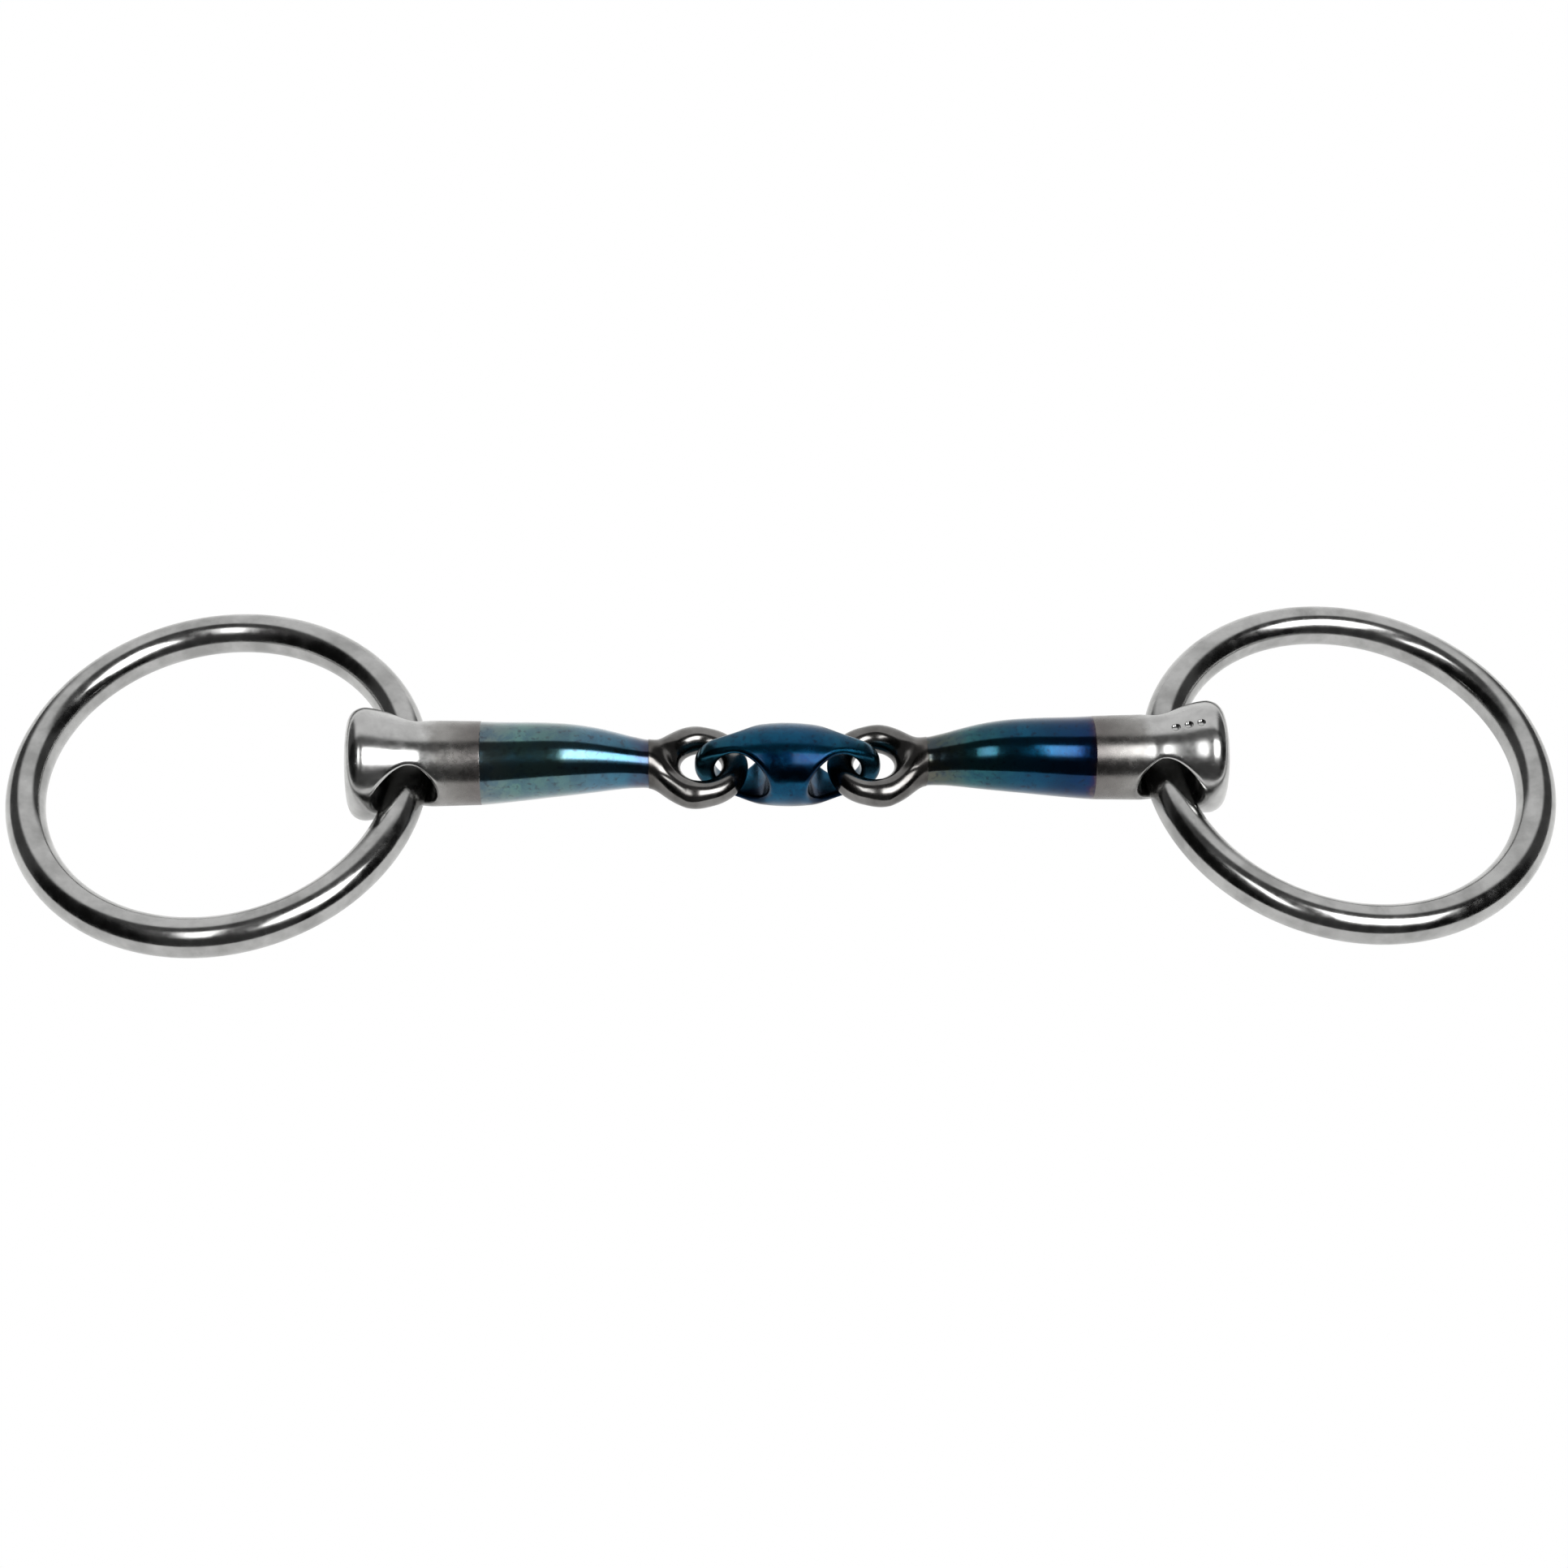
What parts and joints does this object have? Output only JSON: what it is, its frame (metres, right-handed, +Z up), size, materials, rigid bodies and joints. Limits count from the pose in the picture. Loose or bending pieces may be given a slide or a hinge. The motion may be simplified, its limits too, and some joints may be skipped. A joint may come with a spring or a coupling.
{
  "type": "loose ring snaffle bit",
  "caption": "Loose ring snaffle bit: round wire rings through flared bored barrels, tapered sleeves and an olive-shaped lozenge link hung between two eyes.",
  "frame": {"origin": "on the surface that the bit lies on, under the middle of the lozenge link", "axes": "+X along the mouthpiece to the right, +Y along the ring bores, +Z up from the surface"},
  "size_m": [0.2762, 0.075, 0.02],
  "materials": {
    "stainless_ring": "polished stainless steel wire",
    "stainless_barrel": "polished stainless steel with a heat tint near the seam",
    "blued_sweet_iron": "polished sweet iron, flame blued and mottled",
    "stainless_eye": "polished stainless steel",
    "blued_lozenge": "polished sweet iron, flame blued"
  },
  "bodies": {
    "lozenge": {"lozenge_link": "blued_lozenge"},
    "left_arm": {"left_eye": "stainless_eye", "left_sleeve": "blued_sweet_iron", "left_barrel": "stainless_barrel"},
    "right_arm": {"right_eye": "stainless_eye", "right_sleeve": "blued_sweet_iron", "right_barrel": "stainless_barrel"},
    "left_ring": {"left_ring": "stainless_ring"},
    "right_ring": {"right_ring": "stainless_ring"}
  },
  "joints": [
    {"name": "left_arm_fold", "type": "hinge", "parent": "lozenge", "child": "left_arm", "pos_m": [-0.00935, 0, 0.0082], "axis": [0, 1, 0], "range_deg": [-40, 40]},
    {"name": "right_arm_fold", "type": "hinge", "parent": "lozenge", "child": "right_arm", "pos_m": [0.00935, 0, 0.0082], "axis": [0, -1, 0], "range_deg": [-40, 40]},
    {"name": "left_ring_swing", "type": "hinge", "parent": "left_arm", "child": "left_ring", "pos_m": [-0.0672, 0, 0.01], "axis": [0, 1, 0], "range_deg": [-90, 90]},
    {"name": "right_ring_swing", "type": "hinge", "parent": "right_arm", "child": "right_ring", "pos_m": [0.0672, 0, 0.01], "axis": [0, -1, 0], "range_deg": [-90, 90]}
  ]
}
